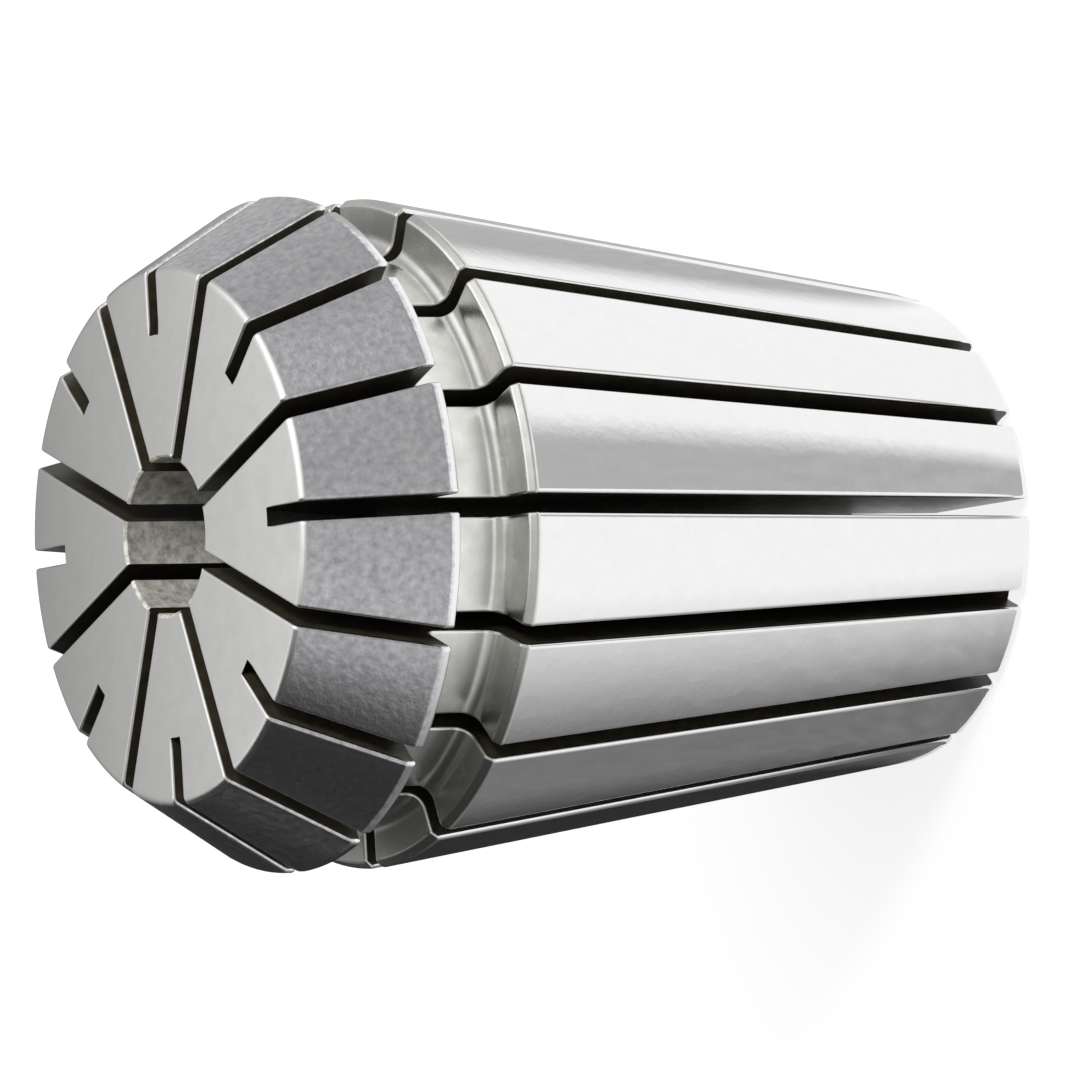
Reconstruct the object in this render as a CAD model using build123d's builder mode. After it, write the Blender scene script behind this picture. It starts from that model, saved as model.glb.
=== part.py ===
"""Spring collet of the ER family, 26 mm body, for a 6 mm shank.

One piece of hardened spring steel, turned, bored and then slit. The back end
stands on the XY plane, the axis is Z and the nose points up. Eight slots are
sawn in from the nose and eight from the back, so the wall folds like a
concertina and the bore closes evenly over its whole length.
"""

import math
import os

from build123d import *

# ---- Driving dimensions, in millimetres and degrees -------------------------

overall_length = 34.0
body_diameter = 26.0  # across the nose ring and the big end of the taper
bore_diameter = 6.0

taper_half_angle = 8.0  # long cone that sits in the spindle
nose_half_angle = 30.0  # short cone that the clamping nut presses on
nose_cone_length = 4.85
nose_ring_width = 0.4  # plain land between the nose cone and the groove
groove_width = 3.15  # takes the eccentric ring of the clamping nut
groove_depth = 1.95

slots_per_end = 8
slot_width = 0.7
slot_lip_break = 0.1  # at 45 degrees, along both sides of a slot on the two cones
saw_diameter = 40.0  # slitting saw, which leaves its arc at each closed end
saw_overcut = 1.0  # how far the saw runs inside the bore wall
slot_length_on_nose_face = 2.5  # of a slot from the back, where it runs out
slot_depth_at_back_end = 1.2  # of a slot from the nose, where it runs out

nose_rim_round = 0.35
groove_root_round = 0.4  # at the shoulder, where the groove meets the taper's end
nose_ring_chamfer = 0.12
shoulder_chamfer = 0.3
back_rim_chamfer = 0.2
bore_chamfer = 0.1

# ---- Worked out from the driving dimensions ---------------------------------

bore_radius = bore_diameter / 2
body_radius = body_diameter / 2
groove_radius = body_radius - groove_depth

nose_ring_front = overall_length - nose_cone_length
groove_front = nose_ring_front - nose_ring_width
groove_back = groove_front - groove_width

nose_face_radius = body_radius - nose_cone_length * math.tan(math.radians(nose_half_angle))
back_radius = body_radius - groove_back * math.tan(math.radians(taper_half_angle))

# Corners of the turned outline, each as (radius, height).
bore_at_back = (bore_radius, 0)
back_rim = (back_radius, 0)
shoulder = (body_radius, groove_back)
groove_root_back = (groove_radius, groove_back)
groove_root_front = (groove_radius, groove_front)
ring_back = (body_radius, groove_front)
ring_front = (body_radius, nose_ring_front)
nose_rim = (nose_face_radius, overall_length)
bore_at_nose = (bore_radius, overall_length)

saw_radius = saw_diameter / 2
slot_floor_radius = bore_radius - saw_overcut
saw_centre_radius = slot_floor_radius + saw_radius
saw_clearance = 2.0  # how far a cut runs out past the metal
saw_reach = overall_length + saw_clearance
slot_pitch = 360 / slots_per_end


def slot_planes(first_angle, open_end, towards_closed_end):
    """Radial planes of one set of slots: x runs outwards, y away from the open end."""
    planes = []
    for index in range(slots_per_end):
        angle = math.radians(first_angle + index * slot_pitch)
        outwards = Vector(math.cos(angle), math.sin(angle), 0)
        planes.append(
            Plane(
                origin=(0, 0, open_end),
                x_dir=outwards,
                z_dir=outwards.cross(towards_closed_end),
            )
        )
    return planes


# Each set: its planes, and the radius at which its floor leaves the far end.
back_slots = (
    slot_planes(0, 0, Vector(0, 0, 1)),
    nose_face_radius - slot_length_on_nose_face,
)
nose_slots = (
    slot_planes(slot_pitch / 2, overall_length, Vector(0, 0, -1)),
    back_radius - slot_depth_at_back_end,
)

lip_half_width = slot_width / 2 + slot_lip_break  # of the V that a cutter leaves
lip_clearance = 0.8  # how far a lip cutter stands out of the metal and past its ends


def lip_planes(start, end):
    """Planes square to a cone's line, a little before its start, one at each slot.

    x runs straight out of the metal and z along the line."""
    planes = []
    for index in range(2 * slots_per_end):
        angle = math.radians(index * slot_pitch / 2)
        outwards = Vector(math.cos(angle), math.sin(angle), 0)
        along = outwards * (end[0] - start[0]) + Vector(0, 0, end[1] - start[1])
        along = along.normalized()
        planes.append(
            Plane(
                origin=outwards * start[0] + Vector(0, 0, start[1]) - along * lip_clearance,
                x_dir=along.cross(outwards.cross(Vector(0, 0, 1))),
                z_dir=along,
            )
        )
    return planes


# ---- The collet --------------------------------------------------------------

with BuildPart() as collet:
    # Turned and bored blank.
    with BuildSketch(Plane.XZ) as outline:
        with BuildLine():
            Polyline(
                bore_at_back,
                back_rim,
                shoulder,
                groove_root_back,
                groove_root_front,
                ring_back,
                ring_front,
                nose_rim,
                bore_at_nose,
                close=True,
            )
        make_face()
        for corner, radius in (
            (nose_rim, nose_rim_round),
            (groove_root_back, groove_root_round),
        ):
            fillet(outline.vertices().sort_by_distance(corner)[0], radius=radius)
        for corner, length in (
            (ring_front, nose_ring_chamfer),
            (ring_back, nose_ring_chamfer),
            (shoulder, shoulder_chamfer),
            (back_rim, back_rim_chamfer),
            (bore_at_back, bore_chamfer),
            (bore_at_nose, bore_chamfer),
        ):
            chamfer(outline.vertices().sort_by_distance(corner)[0], length=length)
    revolve(axis=Axis.Z)

    # Saw cuts. The straight floor lies inside the bore, so the slot is open to
    # it, and the saw's arc then climbs through the wall and leaves at the far
    # end. What stays under the arc is the web that joins two segments.
    for planes, run_out_radius in (back_slots, nose_slots):
        arc_height = math.sqrt(saw_radius**2 - (saw_centre_radius - run_out_radius) ** 2)
        arc_start = overall_length - arc_height
        arc_sweep = math.degrees(math.asin((saw_reach - arc_start) / saw_radius))
        with BuildSketch(*planes):
            with BuildLine():
                floor = Line(
                    (slot_floor_radius, -saw_clearance),
                    (slot_floor_radius, arc_start),
                )
                arc = CenterArc(
                    (saw_centre_radius, arc_start), saw_radius, 180, -arc_sweep
                )
                Polyline(
                    arc @ 1,
                    (body_radius + saw_clearance, saw_reach),
                    (body_radius + saw_clearance, -saw_clearance),
                    floor @ 0,
                )
            make_face()
    extrude(amount=slot_width / 2, both=True, mode=Mode.SUBTRACT)

    # Lips broken with a V cutter that follows each slot down the taper and the nose cone.
    for start, end in ((back_rim, shoulder), (ring_front, nose_rim)):
        with BuildSketch(*lip_planes(start, end)):
            Polygon(
                (-lip_half_width, 0),
                (lip_clearance, lip_half_width + lip_clearance),
                (lip_clearance, -lip_half_width - lip_clearance),
                align=None,
            )
        extrude(amount=math.dist(start, end) + 2 * lip_clearance, mode=Mode.SUBTRACT)

collet.part.label = "collet"

os.makedirs("parts", exist_ok=True)
export_step(collet.part, "parts/collet.step")
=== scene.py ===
# %% [markdown]
# # A spring collet, 26 mm across
#
# The object is one piece of hardened spring steel: a tube with a long taper, a groove
# for the clamping nut and a short nose cone, slit sixteen times. Eight slots start at
# the back and eight at the nose, in turn, so each segment hangs on its neighbours by a
# small web at one end or the other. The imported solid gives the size, and this file
# gives the surface: rounded lips, ground and sawn finishes, light and camera.

# %% load the fixed frame
import math

import bpy
import bmesh
from mathutils import Matrix, Vector


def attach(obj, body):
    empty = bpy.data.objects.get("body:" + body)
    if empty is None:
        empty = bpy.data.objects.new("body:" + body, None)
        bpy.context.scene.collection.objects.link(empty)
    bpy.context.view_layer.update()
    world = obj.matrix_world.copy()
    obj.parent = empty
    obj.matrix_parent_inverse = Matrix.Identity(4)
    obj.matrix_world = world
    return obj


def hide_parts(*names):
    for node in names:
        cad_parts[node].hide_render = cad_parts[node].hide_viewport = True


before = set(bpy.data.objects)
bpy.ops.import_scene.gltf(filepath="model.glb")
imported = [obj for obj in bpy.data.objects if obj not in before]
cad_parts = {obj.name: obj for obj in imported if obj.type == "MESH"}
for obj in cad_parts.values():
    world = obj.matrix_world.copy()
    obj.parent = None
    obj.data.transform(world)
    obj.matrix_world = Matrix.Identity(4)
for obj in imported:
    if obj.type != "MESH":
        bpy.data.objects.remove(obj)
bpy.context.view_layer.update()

# %% [markdown]
# ## The turned outline
#
# A lathe part is a flat outline spun about its axis. The outline is a list of corners,
# each with the radius of the round that breaks it, because no real edge is sharp and
# the rounds are what catches the light. One function turns the corners into points
# with their outward directions. Those directions are needed later, to sink the outline
# a little where a slot's lip is rounded.

# %% sizes in millimetres
MM = 0.001

overall_length = 34.0
body_radius = 13.0
bore_radius = 3.0
taper_angle = math.radians(8)
nose_angle = math.radians(30)
nose_cone_length = 4.85
nose_ring_width = 0.4
groove_width = 3.15
groove_depth = 1.95
slot_width = 0.7
saw_radius = 20.0
saw_overcut = 1.0
slot_length_on_nose_face = 2.5
slot_depth_at_back_end = 1.2
slots_per_end = 8

shoulder_chamfer = 0.3
bore_chamfer = 0.1

ring_front = overall_length - nose_cone_length
groove_front = ring_front - nose_ring_width
groove_back = groove_front - groove_width
groove_radius = body_radius - groove_depth
nose_face_radius = body_radius - nose_cone_length * math.tan(nose_angle)
back_radius = body_radius - groove_back * math.tan(taper_angle)
half_slot = slot_width / 2
segment_angle = math.pi / slots_per_end
print("back end radius %.3f mm, nose face radius %.3f mm" % (back_radius, nose_face_radius))

# %% the outline's corners: radius, height, round, finish of the span that follows
GROUND, TURNED, NOSE, FACE, SAWN, BORE = range(6)
lip_rounds = {GROUND: 0.16, TURNED: 0.1, NOSE: 0.15, FACE: 0.1, BORE: 0}

chamfer_drop = shoulder_chamfer * math.cos(taper_angle)
chamfer_in = shoulder_chamfer * math.sin(taper_angle)
corners = [
    (bore_radius + bore_chamfer, 0, 0.1, FACE),
    (back_radius, 0, 0.45, GROUND),
    (body_radius - chamfer_in, groove_back - chamfer_drop, 0.2, TURNED),
    (body_radius - shoulder_chamfer, groove_back, 0.2, TURNED),
    (groove_radius, groove_back, 0.6, TURNED),
    (groove_radius, groove_front, 0.3, TURNED),
    (body_radius, groove_front, 0.14, GROUND),
    (body_radius, ring_front, 0.4, NOSE),
    (nose_face_radius, overall_length, 0.35, FACE),
    (bore_radius + bore_chamfer, overall_length, 0.1, BORE),
    (bore_radius, overall_length - bore_chamfer, 0.05, BORE),
    (bore_radius, bore_chamfer, 0.05, BORE),
]
round_steps = 8
support = 0.03  # a row this close to each round keeps the long faces flat in shading


class Point:
    """A point of the outline: its outward direction, the finish after it, the lip's round."""

    def __init__(self, r, z, normal, finish, lip):
        self.r, self.z, self.normal, self.finish, self.lip = r, z, normal, finish, lip


def rounded_outline(corners):
    """Points round the outline, with an arc at each corner and support rows beside it."""
    points = []
    count = len(corners)
    for index, (r, z, radius, finish) in enumerate(corners):
        here = Vector((r, z))
        before = Vector(corners[index - 1][:2])
        after = Vector(corners[(index + 1) % count][:2])
        come = (here - before).normalized()
        leave = (after - here).normalized()
        turn = come.angle_signed(leave)
        reach = radius * math.tan(abs(turn) / 2)
        normal_in = Vector((come.y, -come.x))
        normal_out = Vector((leave.y, -leave.x))
        start = here - come * reach
        side = 1 if turn < 0 else -1
        centre = start - normal_in * radius * side
        last = corners[index - 1][3]
        lip_in, lip_out = lip_rounds[last], lip_rounds[finish]
        points.append(Point(*(start - come * support), normal_in, last, lip_in))
        for step in range(round_steps + 1):
            share = step / round_steps
            direction = normal_in.slerp(normal_out, share)
            place = centre + direction * radius * side
            lip = lip_in + (lip_out - lip_in) * share
            points.append(Point(*place, direction, finish, lip))
        end = here + leave * reach
        points.append(Point(*(end + leave * support), normal_out, finish, lip_out))
    return points


outline = rounded_outline(corners)
print("outline has", len(outline), "points")

# %% [markdown]
# ## Where a slot is open and where a web closes it
#
# A slot is straight along the bore and ends in the arc of the saw. Where that arc
# leaves the bore and where it leaves the end face, the outline gets a point of its
# own, because the surface changes there from an open lip to solid web. The lip's round
# fades out over the last half millimetre, as a hand deburring tool leaves it.

# %% the saw's arc
saw_floor = bore_radius - saw_overcut
saw_centre = saw_floor + saw_radius


def arc_height(radius):
    """How far from the arc's start, along the axis, the saw has climbed to this radius."""
    return math.sqrt(saw_radius**2 - (saw_centre - radius) ** 2)


class Slot:
    """One set of slots: where its floor meets the end face and the bore."""

    def __init__(self, exit_radius, closed_end, direction):
        self.exit_radius = exit_radius
        self.closed_end = closed_end
        self.start = closed_end - direction * arc_height(exit_radius)
        self.direction = direction
        self.bore_height = self.start + direction * arc_height(bore_radius)

    def closed_at(self, r, z):
        """True where the web stands: the end face inside the exit, and the bore beyond it."""
        along = (z - self.bore_height) * self.direction
        if abs(z - self.closed_end) < 0.05 and r < self.exit_radius - 1e-4:
            return True
        return r < bore_radius + bore_chamfer + 0.1 and along > 1e-4

    def arc(self, steps):
        """Points of the floor from the end face down to the bore, both ends included."""
        points = []
        for step in range(steps + 1):
            share = step / steps
            radius = self.exit_radius + (bore_radius - self.exit_radius) * share
            points.append((radius, self.start + self.direction * arc_height(radius)))
        return points


back_slot = Slot(nose_face_radius - slot_length_on_nose_face, overall_length, 1)
nose_slot = Slot(back_radius - slot_depth_at_back_end, 0, -1)
print("webs at the bore: nose %.2f mm, back %.2f mm" % (
    overall_length - back_slot.bore_height, nose_slot.bore_height))

# %% extra points of the outline where the slots begin and end
fade_steps = (-support, 0, 0.04, 0.12, 0.25, 0.45)
fade_length = fade_steps[-1]


def with_extra_points(outline):
    """The outline with a point at each place where a slot's state changes."""
    extra = [(back_slot.exit_radius + step, overall_length) for step in fade_steps]
    extra += [(nose_slot.exit_radius + step, 0) for step in fade_steps]
    for slot in (back_slot, nose_slot):
        extra += [(bore_radius, slot.bore_height + step) for step in (-support, 0, support)]
    points = []
    count = len(outline)
    for index, point in enumerate(outline):
        points.append(point)
        here = Vector((point.r, point.z))
        there = Vector((outline[(index + 1) % count].r, outline[(index + 1) % count].z))
        span = there - here
        found = []
        for r, z in extra:
            share = (Vector((r, z)) - here).dot(span) / span.length_squared
            off = (here + span * share - Vector((r, z))).length
            if 0 < share < 1 and off < 1e-6 and span.length > 1:
                found.append((share, r, z))
        for share, r, z in sorted(found):
            points.append(Point(r, z, point.normal, point.finish, point.lip))
    return points


outline = with_extra_points(outline)
print("outline has", len(outline), "points with the slots' ends")

# %% [markdown]
# ## One segment
#
# Every segment is the mirror image of its neighbour, so one is modelled: from the
# middle of a back slot to the middle of a nose slot, 22.5 degrees. It is a grid of the
# outline's points by a few columns, with a quarter-round lip on each side, a flat slot
# wall, and the arc of the web. Modelling it one face at a time rather than cutting with
# booleans keeps every long face clean, and ground steel shows each fault of a mesh.

# %% the segment's mesh
columns = (0, 0.012, 0.12, 0.25, 0.375, 0.5, 0.625, 0.75, 0.88, 0.988, 1)
lip_steps = 4
arc_steps = 24
wall_support = 0.03


def lip_size(point, slot):
    """Radius of the lip's round at this point: none in the bore and where the slot ends."""
    if abs(point.z - slot.closed_end) > 0.05:
        return point.lip
    past_exit = (point.r - slot.exit_radius) / fade_length
    return point.lip * math.sqrt(min(max(past_exit, 0), 1))


def place_at(side, r, z, y):
    """A point at distance y from the middle plane of the slot on this side, 0 or 1."""
    angle = math.asin(y / r)
    if side:
        angle = segment_angle - angle
    return Vector((r * math.cos(angle), r * math.sin(angle), z))


def sunk(point, depth):
    """The outline's point moved into the metal."""
    return point.r - depth * point.normal.x, point.z - depth * point.normal.y


def segment_mesh():
    """One sixteenth of the collet, open on the two planes where webs continue."""
    mesh = bmesh.new()
    finish = mesh.faces.layers.int.new("finish")
    count = len(outline)

    def face(vertices, value):
        if len(set(vertices)) < 3:
            return
        made = mesh.faces.new(vertices)
        made[finish] = value
        made.smooth = True

    lips = [[lip_size(p, slot) for p in outline] for slot in (back_slot, nose_slot)]
    rows = []
    for index, point in enumerate(outline):
        low = math.asin((half_slot + lips[0][index]) / point.r)
        high = segment_angle - math.asin((half_slot + lips[1][index]) / point.r)
        row = []
        for share in columns:
            angle = low + (high - low) * share
            row.append(mesh.verts.new((
                point.r * math.cos(angle), point.r * math.sin(angle), point.z)))
        rows.append(row)
    for index in range(count):
        near, far = rows[index], rows[(index + 1) % count]
        value = outline[index].finish
        for column in range(len(columns) - 1):
            face([near[column], far[column], far[column + 1], near[column + 1]], value)

    for side, slot in enumerate((back_slot, nose_slot)):
        closed = [slot.closed_at(p.r, p.z) for p in outline]
        edge_column = -1 if side else 0
        ladders = []
        for index, point in enumerate(outline):
            if closed[index]:
                steps = [mesh.verts.new(place_at(side, point.r, point.z, half_slot * share))
                         for share in (0.5, 0)]
                ladders.append([rows[index][edge_column]] + steps)
                continue
            size = lips[side][index]
            ladder = [rows[index][edge_column]]
            for step in range(1, lip_steps + 1):
                turn = math.pi / 2 * step / lip_steps
                r, z = sunk(point, size * (1 - math.cos(turn)))
                y = half_slot + size * (1 - math.sin(turn))
                ladder.append(mesh.verts.new(place_at(side, r, z, y)))
            ladders.append(ladder)
        webs = {}
        for index, point in enumerate(outline):
            following = (index + 1) % count
            if closed[index] != closed[following]:
                edge = following if closed[index] else index
                steps = [mesh.verts.new(place_at(side, outline[edge].r, outline[edge].z,
                                                 half_slot * share)) for share in (0.5, 0)]
                webs[edge] = [rows[edge][edge_column]] + steps
        for index in range(count):
            following = (index + 1) % count
            value = outline[index].finish
            if closed[index] or closed[following]:
                near = ladders[index] if closed[index] else webs[index]
                far = ladders[following] if closed[following] else webs[following]
            else:
                near, far = ladders[index], ladders[following]
            for step in range(len(near) - 1):
                face([near[step], near[step + 1], far[step + 1], far[step]], value)

        arc_rows = []
        for r, z in slot.arc(arc_steps):
            arc_rows.append([mesh.verts.new(place_at(side, r, z, half_slot * share))
                             for share in (1, 0.5, 0)])
        for near, far in zip(arc_rows, arc_rows[1:]):
            for step in range(2):
                face([near[step], near[step + 1], far[step + 1], far[step]], SAWN)

        opened = [i for i in range(count) if not closed[i]]
        start = next(i for i in opened if closed[i - 1])
        opened = [(start + offset) % count for offset in range(len(opened))]
        rim = [ladders[i][-1] for i in opened]
        inner = []
        for i, vertex in zip(opened, rim):
            size = lips[side][i]
            if size:
                r, z = sunk(outline[i], size + wall_support)
                inner.append(mesh.verts.new(place_at(side, r, z, half_slot)))
            else:
                inner.append(vertex)
        for step in range(len(rim) - 1):
            ring = [rim[step], rim[step + 1], inner[step + 1], inner[step]]
            face(list(dict.fromkeys(ring)), SAWN)
        arc_edge = [row[0] for row in arc_rows[1:-1]]
        if side:
            arc_edge.reverse()
        face(inner + arc_edge, SAWN)

    for vertex in mesh.verts:
        vertex.co *= MM
    bmesh.ops.remove_doubles(mesh, verts=mesh.verts, dist=1e-8)
    bmesh.ops.dissolve_degenerate(mesh, edges=mesh.edges, dist=1e-8)
    data = bpy.data.meshes.new("collet_segment")
    mesh.to_mesh(data)
    mesh.free()
    return data


segment = segment_mesh()
print("segment mesh has", len(segment.polygons), "faces")

# %% [markdown]
# ## Steel, in six finishes
#
# The whole collet is one metal, a hardened spring steel. What differs is how each
# surface was cut. Grinding leaves the taper bright and the nose cone finely pebbled,
# and turning leaves the groove a little duller. The saw cuts are given a near-black,
# matt colour, which is painted shade for the deep, narrow slots, and the bore keeps part
# of a matt film of hardening. The bright surfaces hardly differ in colour, so they are
# told apart by roughness and by the small waves that bend a reflection.

# %% helpers for nodes and colours
def linear(hex_colour):
    """An sRGB hex colour as the linear red, green, blue and alpha a shader works in."""
    channels = [int(hex_colour[i:i + 2], 16) / 255 for i in (1, 3, 5)]
    return [c / 12.92 if c <= 0.04045 else ((c + 0.055) / 1.055) ** 2.4 for c in channels] + [1]


def add_node(tree, kind, inputs=None, **settings):
    """Add a node, set its properties, and give each input, by identifier, a value or a link."""
    node = tree.nodes.new(kind)
    for name, value in settings.items():
        setattr(node, name, value)
    sockets = {socket.identifier: socket for socket in node.inputs}
    for name, value in (inputs or {}).items():
        if isinstance(value, bpy.types.NodeSocket):
            tree.links.new(value, sockets[name])
        else:
            sockets[name].default_value = value
    return node


def every(millimetres):
    """The scale of a texture whose features are this far apart."""
    return 1 / (millimetres * MM)


# %% a steel whose look is set by its finish
def steel(name, bright, dull, roughness, mottle, wave, ripple, line_gap, line_depth, bare=1.0):
    """Bare steel in two close greys, with waves and with the tool's lines round the axis.

    roughness is the pair between which it varies. mottle, wave and line_gap are spacings
    in millimetres; ripple and line_depth are heights in millimetres. bare is the share
    that is clean metal; the rest is matt, and with near-black colours that is painted shade."""
    material = bpy.data.materials.new(name)
    material.use_nodes = True
    tree = material.node_tree
    tree.nodes.clear()
    place = add_node(tree, "ShaderNodeTexCoord").outputs["Object"]
    patches = add_node(tree, "ShaderNodeTexNoise", {
        "Vector": place, "Scale": every(mottle), "Detail": 5, "Roughness": 0.6})
    share = add_node(tree, "ShaderNodeMapRange", {
        "Value": patches.outputs["Fac"], "From Min": 0.25, "From Max": 0.75})
    colour = add_node(tree, "ShaderNodeMix", {
        "Factor_Float": share.outputs["Result"], "A_Color": linear(bright),
        "B_Color": linear(dull)}, data_type="RGBA")
    rough = add_node(tree, "ShaderNodeMapRange", {
        "Value": patches.outputs["Fac"], "From Min": 0.25, "From Max": 0.75,
        "To Min": roughness[0], "To Max": roughness[1]})

    split = add_node(tree, "ShaderNodeSeparateXYZ", {"Vector": place})
    flat = add_node(tree, "ShaderNodeCombineXYZ", {
        "X": split.outputs["X"], "Y": split.outputs["Y"]})
    radius = add_node(tree, "ShaderNodeVectorMath", {"Vector": flat.outputs["Vector"]},
                      operation="LENGTH")
    round_axis = add_node(tree, "ShaderNodeCombineXYZ", {
        "X": radius.outputs["Value"], "Z": split.outputs["Z"]})
    lines = add_node(tree, "ShaderNodeTexNoise", {
        "Vector": round_axis.outputs["Vector"], "Scale": every(line_gap), "Detail": 2})
    waves = add_node(tree, "ShaderNodeTexNoise", {
        "Vector": place, "Scale": every(wave), "Detail": 3, "Roughness": 0.55})
    waved = add_node(tree, "ShaderNodeBump", {
        "Height": waves.outputs["Fac"], "Distance": ripple * MM})
    lined = add_node(tree, "ShaderNodeBump", {
        "Height": lines.outputs["Fac"], "Distance": line_depth * MM,
        "Normal": waved.outputs["Normal"]})
    shader = add_node(tree, "ShaderNodeBsdfPrincipled", {
        "Base Color": colour.outputs[2],
        "Metallic": bare, "Roughness": rough.outputs["Result"],
        "Normal": lined.outputs["Normal"]})
    add_node(tree, "ShaderNodeOutputMaterial", {"Surface": shader.outputs["BSDF"]})
    return material


# %% the six finishes, in the order of the outline's numbers
finishes = [
    steel("ground_taper_steel", "#efefee", "#ebebec", (0.06, 0.12), 0.7, 0.4, 0.006, 0.25, 0.0003),
    steel("turned_groove_steel", "#eeeeea", "#d2d2ce", (0.24, 0.34), 1.2, 1.6, 0.003, 0.18, 0.001),
    steel("ground_nose_cone_steel", "#fafafc", "#bababe", (0.18, 0.28), 0.3, 0.3, 0.012, 0.25,
          0.0004),
    steel("ground_face_steel", "#ecece9", "#e0e0de", (0.26, 0.36), 0.9, 1.5, 0.004, 0.3, 0.0004),
    # the saw cuts: a near-black, non-metal colour, painted shade for the deep, narrow slots
    steel("sawn_steel_painted_shade", "#2f2b22", "#1b1812", (0.28, 0.38), 0.5, 0.8, 0.002, 0.2, 0.001, 0.0),
    steel("honed_bore_steel", "#d0cec6", "#6c6a62", (0.4, 0.6), 0.35, 0.4, 0.014, 0.2, 0.001, 0.5),
]
print("finishes:", ", ".join(material.name for material in finishes))

# %% [markdown]
# ## All sixteen segments
#
# Geometry Nodes repeat the modelled segment. The tree mirrors it across the middle of
# the back slot, sets the pair round the axis once for each slot, joins the touching
# edges, and gives each face the steel that its finish number names. The count is an
# input, so the same tree makes a collet of any number of slots whose segment fits.

# %% the tree that repeats the segment
tree = bpy.data.node_groups.new("ring_of_segments", "GeometryNodeTree")
tree.interface.new_socket("Segment", in_out="INPUT", socket_type="NodeSocketGeometry")
count_input = tree.interface.new_socket(
    "Slots per end", in_out="INPUT", socket_type="NodeSocketInt")
join_input = tree.interface.new_socket(
    "Join within", in_out="INPUT", socket_type="NodeSocketFloat")
tree.interface.new_socket("Collet", in_out="OUTPUT", socket_type="NodeSocketGeometry")

given = add_node(tree, "NodeGroupInput").outputs
mirrored = add_node(tree, "GeometryNodeTransform", {
    "Geometry": given["Segment"], "Scale": (1, -1, 1)})
outward = add_node(tree, "GeometryNodeFlipFaces", {"Mesh": mirrored.outputs["Geometry"]})
pair = add_node(tree, "GeometryNodeJoinGeometry", {"Geometry": given["Segment"]})
tree.links.new(outward.outputs["Mesh"], pair.inputs["Geometry"])
places = add_node(tree, "GeometryNodePoints", {"Count": given["Slots per end"]})
index = add_node(tree, "GeometryNodeInputIndex")
step = add_node(tree, "ShaderNodeMath", {
    "Value": math.tau, "Value_001": given["Slots per end"]}, operation="DIVIDE")
turn = add_node(tree, "ShaderNodeMath", {
    "Value": index.outputs["Index"], "Value_001": step.outputs["Value"]}, operation="MULTIPLY")
angles = add_node(tree, "ShaderNodeCombineXYZ", {"Z": turn.outputs["Value"]})
rotation = add_node(tree, "FunctionNodeEulerToRotation", {"Euler": angles.outputs["Vector"]})
ring = add_node(tree, "GeometryNodeInstanceOnPoints", {
    "Points": places.outputs["Points"], "Instance": pair.outputs["Geometry"],
    "Rotation": rotation.outputs["Rotation"]})
solid = add_node(tree, "GeometryNodeRealizeInstances", {"Geometry": ring.outputs["Instances"]})
joined = add_node(tree, "GeometryNodeMergeByDistance", {
    "Geometry": solid.outputs["Geometry"], "Distance": given["Join within"]})
finish_number = add_node(tree, "GeometryNodeInputNamedAttribute", {
    "Name": "finish"}, data_type="INT").outputs["Attribute"]
result = joined.outputs["Geometry"]
for number, material in enumerate(finishes):
    chosen = add_node(tree, "FunctionNodeCompare", {
        "A_INT": finish_number, "B_INT": number}, data_type="INT", operation="EQUAL")
    result = add_node(tree, "GeometryNodeSetMaterial", {
        "Geometry": result, "Selection": chosen.outputs["Result"],
        "Material": material}).outputs["Geometry"]
add_node(tree, "NodeGroupOutput", {tree.interface.items_tree["Collet"].identifier: result})
print("tree has", len(tree.nodes), "nodes")

# %% run the tree and keep its result as a plain mesh
join_within = 0.0005  # millimetres between points that are one

segment.materials.append(finishes[0])
source = bpy.data.objects.new("segment_source", segment)
bpy.context.collection.objects.link(source)
modifier = source.modifiers.new("ring", "NODES")
modifier.node_group = tree
modifier[count_input.identifier] = slots_per_end
modifier[join_input.identifier] = join_within * MM
evaluated = source.evaluated_get(bpy.context.evaluated_depsgraph_get())
shape = bpy.data.meshes.new_from_object(evaluated)
bpy.data.objects.remove(source)
collet = bpy.data.objects.new("spring_collet", shape)
bpy.context.collection.objects.link(collet)
print("collet has", len(shape.polygons), "faces and", len(shape.materials), "materials")

# %% point all faces outwards and keep the true corners sharp
sharp_from = math.radians(35)

mesh = bmesh.new()
mesh.from_mesh(shape)
bmesh.ops.remove_doubles(mesh, verts=mesh.verts, dist=join_within * MM)
bmesh.ops.recalc_face_normals(mesh, faces=mesh.faces)
for edge in mesh.edges:
    edge.smooth = edge.is_boundary or edge.calc_face_angle(0) < sharp_from
open_edges = sum(edge.is_boundary for edge in mesh.edges)
volume = mesh.calc_volume() / MM**3
mesh.to_mesh(shape)
mesh.free()
print("open edges %d, volume %.0f cubic mm" % (open_edges, volume))

# %% [markdown]
# ## Tie the piece to the solid
#
# The detailed mesh takes the place of the plain solid. It has the same sizes, so it
# fills the same box, and it stays with the one body the part has.

# %% place in the frame
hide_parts("collet")
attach(collet, "root")
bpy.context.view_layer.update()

# %% [markdown]
# ## Floor, room and light
#
# Bright metal has almost no look of its own: it shows the room. So the room is made for
# it, as for a catalogue picture. The walls are grey and paler at the back, the ceiling
# glows, and a black cloth low on one side gives the round body its dark edge. The long
# taper sees only the floor, so two ring-shaped cards lie there, which glow in arcs of
# white, grey, dark and black that fade into each other and are seen only in the steel:
# they are painted reflections that give the round steel its bands. A small glowing card
# behind the nose, also seen only in the steel, is a painted reflection that shades the
# flat face. Two lamps, which the steel does not mirror, light the matt surfaces and give
# the floor its shadow.

# %% floor
floor_reach = 2000
glow_centre = (9, 0)  # at the foot of the slot that faces the camera
glow_full, glow_end = 9, 18
glow_left = 0.02
glow_part = 0.85  # the rest of the floor is matt, so it takes a soft shadow


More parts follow.
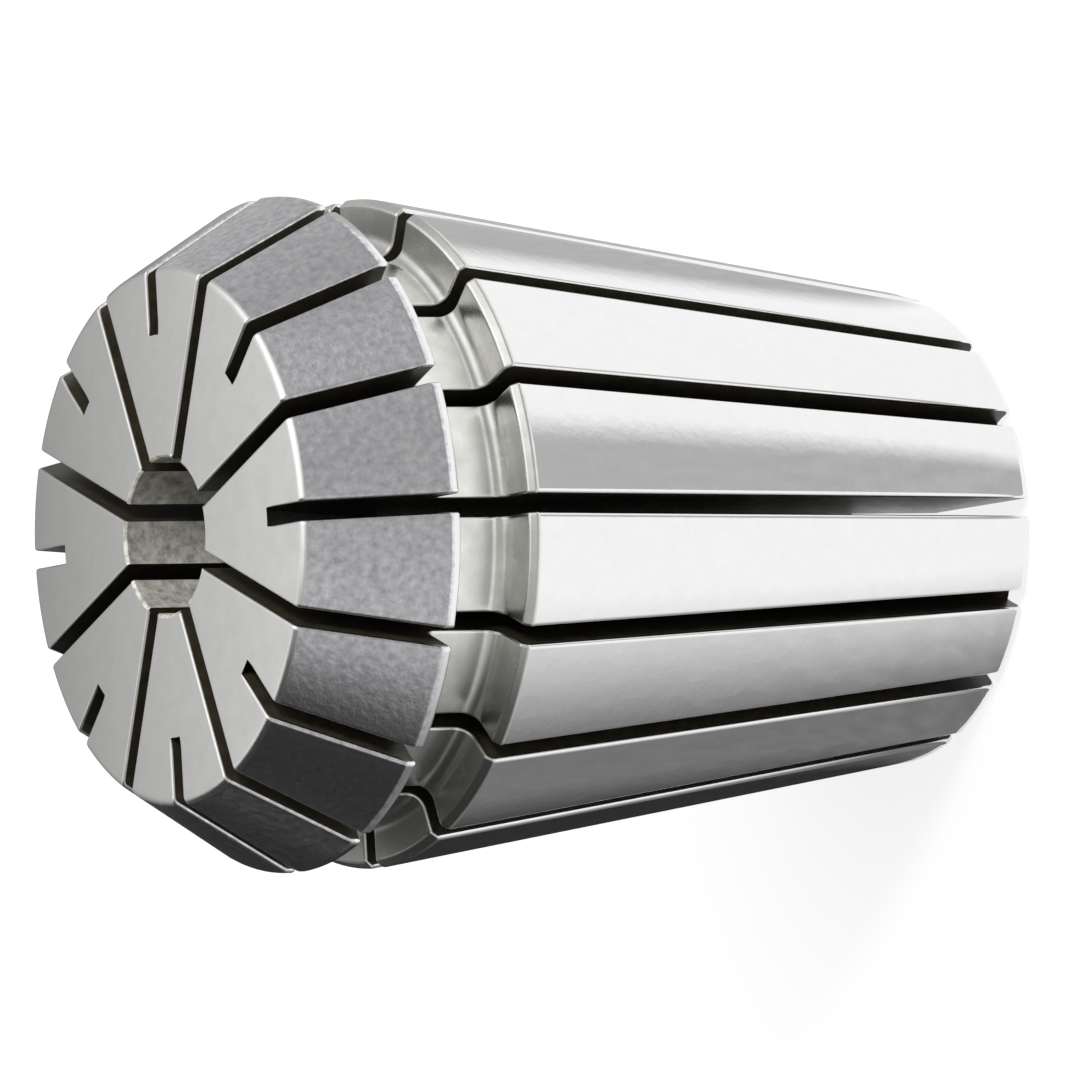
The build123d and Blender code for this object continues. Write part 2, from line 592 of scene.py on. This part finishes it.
def plane(name, corners, material):
    """A flat stage piece through these corners, in millimetres."""
    data = bpy.data.meshes.new(name)
    data.from_pydata([Vector(corner) * MM for corner in corners], [], [range(len(corners))])
    data.materials.append(material)
    made = bpy.data.objects.new(name, data)
    bpy.context.collection.objects.link(made)
    return made


paper = bpy.data.materials.new("white_paper_floor")
paper.use_nodes = True
tree = paper.node_tree
tree.nodes.clear()
rays = add_node(tree, "ShaderNodeLightPath").outputs
place = add_node(tree, "ShaderNodeTexCoord").outputs["Object"]
# The steel sees the floor glow only near that foot, and almost dark further out.
from_foot = add_node(tree, "ShaderNodeVectorMath", {
    "Vector": place, "Vector_001": (glow_centre[0] * MM, glow_centre[1] * MM, 0)},
    operation="DISTANCE")
near_foot = add_node(tree, "ShaderNodeMapRange", {
    "Value": from_foot.outputs["Value"], "From Min": glow_full * MM,
    "From Max": glow_end * MM, "To Min": 1.0, "To Max": glow_left})
in_steel = add_node(tree, "ShaderNodeMath", {
    "Value": rays["Is Glossy Ray"], "Value_001": near_foot.outputs["Result"]},
    operation="MULTIPLY")
seen = add_node(tree, "ShaderNodeMath", {
    "Value": rays["Is Camera Ray"], "Value_001": in_steel.outputs["Value"]},
    operation="MAXIMUM")
seen = add_node(tree, "ShaderNodeMath", {
    "Value": seen.outputs["Value"], "Value_001": rays["Is Transmission Ray"]},
    operation="MAXIMUM")
glow_share = add_node(tree, "ShaderNodeMath", {
    "Value": seen.outputs["Value"], "Value_001": glow_part}, operation="MULTIPLY")
matt = add_node(tree, "ShaderNodeBsdfDiffuse", {"Color": linear("#f4f4f2")})
glow = add_node(tree, "ShaderNodeEmission", {"Color": linear("#ffffff"), "Strength": 1.0})
mixed = add_node(tree, "ShaderNodeMixShader", {
    "Fac": glow_share.outputs["Value"], "Shader": matt.outputs["BSDF"],
    "Shader_001": glow.outputs["Emission"]})
add_node(tree, "ShaderNodeOutputMaterial", {"Surface": mixed.outputs["Shader"]})
plane("floor", [
    (-floor_reach, -floor_reach, 0), (floor_reach, -floor_reach, 0),
    (floor_reach, floor_reach, 0), (-floor_reach, floor_reach, 0)], paper)
print("floor laid,", 2 * floor_reach, "mm across")

# %% the grey room
darker_wall = (0.46, 0.89, 0)  # the way to the darker wall
cloth_side = (-0.35, -0.8, 0.5)  # the way to the black cloth
ceiling_side = (0, 0.45, 0.89)  # the way to the glowing ceiling

world = bpy.data.worlds.new("grey_room")
bpy.context.scene.world = world
world.use_nodes = True
tree = world.node_tree
tree.nodes.clear()
direction = add_node(tree, "ShaderNodeTexCoord").outputs["Generated"]
across = add_node(tree, "ShaderNodeVectorMath", {
    "Vector": direction, "Vector_001": darker_wall}, operation="DOT_PRODUCT")
wall = add_node(tree, "ShaderNodeMapRange", {
    "Value": across.outputs["Value"], "From Min": -0.36, "From Max": 1.0,
    "To Min": 0.74, "To Max": 0.44})
towards_cloth = add_node(tree, "ShaderNodeVectorMath", {
    "Vector": direction, "Vector_001": cloth_side}, operation="DOT_PRODUCT")
dark_side = add_node(tree, "ShaderNodeMapRange", {
    "Value": towards_cloth.outputs["Value"], "From Min": 0.48, "From Max": 0.8,
    "To Min": 1.0, "To Max": 0.05})
upwards = add_node(tree, "ShaderNodeVectorMath", {
    "Vector": direction, "Vector_001": ceiling_side}, operation="DOT_PRODUCT")
ceiling = add_node(tree, "ShaderNodeMapRange", {
    "Value": upwards.outputs["Value"], "From Min": 0.66, "From Max": 0.9,
    "To Min": 0.0, "To Max": 1.25})
lit = add_node(tree, "ShaderNodeMath", {
    "Value": wall.outputs["Result"], "Value_001": ceiling.outputs["Result"]}, operation="ADD")
level = add_node(tree, "ShaderNodeMath", {
    "Value": lit.outputs["Value"], "Value_001": dark_side.outputs["Result"]},
    operation="MULTIPLY")
room = add_node(tree, "ShaderNodeBackground", {"Strength": level.outputs["Value"]})
add_node(tree, "ShaderNodeOutputWorld", {"Surface": room.outputs["Background"]})
print("room set")

# %% the two lamps
def lamp(name, place, aim, size, power):
    """A square area lamp turned to its aim, in millimetres and watts, unseen in the steel."""
    data = bpy.data.lights.new(name, "AREA")
    data.shape = "SQUARE"
    data.size = size * MM
    data.energy = power
    made = bpy.data.objects.new(name, data)
    bpy.context.collection.objects.link(made)
    made.location = Vector(place) * MM
    made.rotation_euler = (Vector(aim) - Vector(place)).to_track_quat("-Z", "Y").to_euler()
    made.visible_glossy = False


lamp("wide_lamp", (60, 180, 420), (0, 0, 10), 500, 3.0)
lamp("front_lamp", (240, 180, 264), (0, 0, 33), 60, 1.2)
print("lamps hung")

# %% a ring-shaped glowing card round the part, a painted reflection
card_centre = (6.2, -0.5)  # the angles of the papers are taken about this point
card_height = 0.2
card_steps = 90


def painted_reflection_ring(name, inner, outer, reflection_levels, mottle):
    """A ring on the floor that glows in arcs by the angle, seen in the steel only: a painted
    reflection.

    The list of levels holds pairs of degrees and glow. mottle is how far the darker ones vary."""
    reflection_glow_material = bpy.data.materials.new(name)
    reflection_glow_material.use_nodes = True
    tree = reflection_glow_material.node_tree
    tree.nodes.clear()
    place = add_node(tree, "ShaderNodeTexCoord").outputs["Object"]
    offset = add_node(tree, "ShaderNodeVectorMath", {
        "Vector": place, "Vector_001": (card_centre[0] * MM, card_centre[1] * MM, 0)},
        operation="SUBTRACT")
    angle = add_node(tree, "ShaderNodeTexGradient", {
        "Vector": offset.outputs["Vector"]}, gradient_type="RADIAL")
    ramp = add_node(tree, "ShaderNodeValToRGB", {"Fac": angle.outputs["Fac"]})
    strongest = max(level for _, level in reflection_levels)
    stops = ramp.color_ramp.elements
    while len(stops) < len(reflection_levels):
        stops.new(0.5)
    for stop, (degrees, level) in zip(stops, reflection_levels):
        stop.position = degrees / 360 + 0.5
        stop.color = [level / strongest] * 3 + [1]
    clouds = add_node(tree, "ShaderNodeTexNoise", {
        "Vector": place, "Scale": every(1.2), "Detail": 3, "Roughness": 0.6})
    lift = add_node(tree, "ShaderNodeMapRange", {
        "Value": clouds.outputs["Fac"], "From Min": 0.2, "From Max": 0.8,
        "To Min": -mottle, "To Max": mottle})
    paleness = add_node(tree, "ShaderNodeMapRange", {
        "Value": ramp.outputs["Color"], "To Min": 1.0, "To Max": 0.0})
    change = add_node(tree, "ShaderNodeMath", {
        "Value": lift.outputs["Result"], "Value_001": paleness.outputs["Result"]},
        operation="MULTIPLY")
    factor = add_node(tree, "ShaderNodeMath", {
        "Value": change.outputs["Value"], "Value_001": 1.0}, operation="ADD")
    strength = add_node(tree, "ShaderNodeMath", {
        "Value": factor.outputs["Value"], "Value_001": strongest}, operation="MULTIPLY")
    glow = add_node(tree, "ShaderNodeEmission", {
        "Color": ramp.outputs["Color"], "Strength": strength.outputs["Value"]})
    add_node(tree, "ShaderNodeOutputMaterial", {"Surface": glow.outputs["Emission"]})

    rim = []
    for radius in (inner, outer):
        for number in range(card_steps):
            turn = math.tau * number / card_steps
            rim.append(Vector((radius * math.cos(turn), radius * math.sin(turn), card_height)) * MM)
    faces = []
    for number in range(card_steps):
        following = (number + 1) % card_steps
        faces.append((number, following, card_steps + following, card_steps + number))
    data = bpy.data.meshes.new(name)
    data.from_pydata(rim, [], faces)
    data.materials.append(reflection_glow_material)
    card = bpy.data.objects.new(name, data)
    bpy.context.collection.objects.link(card)
    card.visible_camera = card.visible_diffuse = card.visible_shadow = False
    print(name, "laid with", len(reflection_levels), "stops")


# %% the near card, a painted reflection for the taper, and the far card, a painted reflection for its rounded edges
white, grey, dark, black = 1.05, 0.5, 0.2, 0.03  # glow of the four arcs of the painted reflection

painted_reflection_ring("near_painted_reflection", 9.6, 38, [
    (-130, black), (-110, dark), (-85, dark), (-30, white), (5, white), (6, grey),
    (30, grey), (40, white), (105, white), (115, grey), (150, grey), (165, black)], 0.25)
painted_reflection_ring("far_painted_reflection", 38, 1800, [
    (-130, black), (-110, dark), (-85, dark), (-30, white),
    (105, white), (115, grey), (150, grey), (165, black)], 0.0)

# %% a small card behind the nose that glows, brighter at its upper end, seen only in the steel: a painted reflection for the flat face
card_gap = 12  # from the middle of the face
half_height, half_width = 15, 18
shade_reach = 8  # either side of the card's middle

towards_card = Vector((-0.84, 0.07, 0.54)).normalized()
card_up = Vector((0, 1, 0)).cross(towards_card).normalized()
card_side = towards_card.cross(card_up)
middle = Vector((0, 0, overall_length)) + towards_card * card_gap

nose_reflection_glow = bpy.data.materials.new("nose_painted_reflection")
nose_reflection_glow.use_nodes = True
tree = nose_reflection_glow.node_tree
tree.nodes.clear()
place = add_node(tree, "ShaderNodeTexCoord").outputs["Object"]
upwards = add_node(tree, "ShaderNodeVectorMath", {
    "Vector": place, "Vector_001": card_up}, operation="DOT_PRODUCT")
paler = add_node(tree, "ShaderNodeMapRange", {
    "Value": upwards.outputs["Value"], "From Min": (middle.dot(card_up) - shade_reach) * MM,
    "From Max": (middle.dot(card_up) + shade_reach) * MM, "To Min": 0.25, "To Max": 0.86})
glow = add_node(tree, "ShaderNodeEmission", {"Strength": paler.outputs["Result"]})
add_node(tree, "ShaderNodeOutputMaterial", {"Surface": glow.outputs["Emission"]})
nose_painted_reflection = plane("nose_painted_reflection", [
    middle + card_up * a * half_height + card_side * b * half_width
    for a, b in ((-1, -1), (1, -1), (1, 1), (-1, 1))], nose_reflection_glow)
nose_painted_reflection.visible_camera = nose_painted_reflection.visible_diffuse = nose_painted_reflection.visible_shadow = False
print("nose card stands", card_gap, "mm from the face's middle")

# %% [markdown]
# ## Camera
#
# A long lens from the nose side, rolled on its side, so the part stands on its back end
# on the floor while the picture shows it lying.

# %% camera
focal_length, sensor_width = 285.76, 36
camera_place = Vector((278.378, -24.338, 195.812))
right = Vector((0.535384, -0.056868, -0.842692))
up = Vector((0.092401, 0.995686, -0.008488))

camera_data = bpy.data.cameras.new("camera")
camera_data.lens = focal_length
camera_data.sensor_width = sensor_width
camera_data.clip_start = 0.01
camera = bpy.data.objects.new("camera", camera_data)
bpy.context.collection.objects.link(camera)
back = right.cross(up)
turned = Matrix((right, up, back)).transposed().to_4x4()
camera.matrix_world = Matrix.Translation(camera_place * MM) @ turned
bpy.context.scene.camera = camera
print("camera stands %.0f mm away" % camera_place.length)

# %% finish
bpy.context.scene.view_settings.view_transform = "Standard"
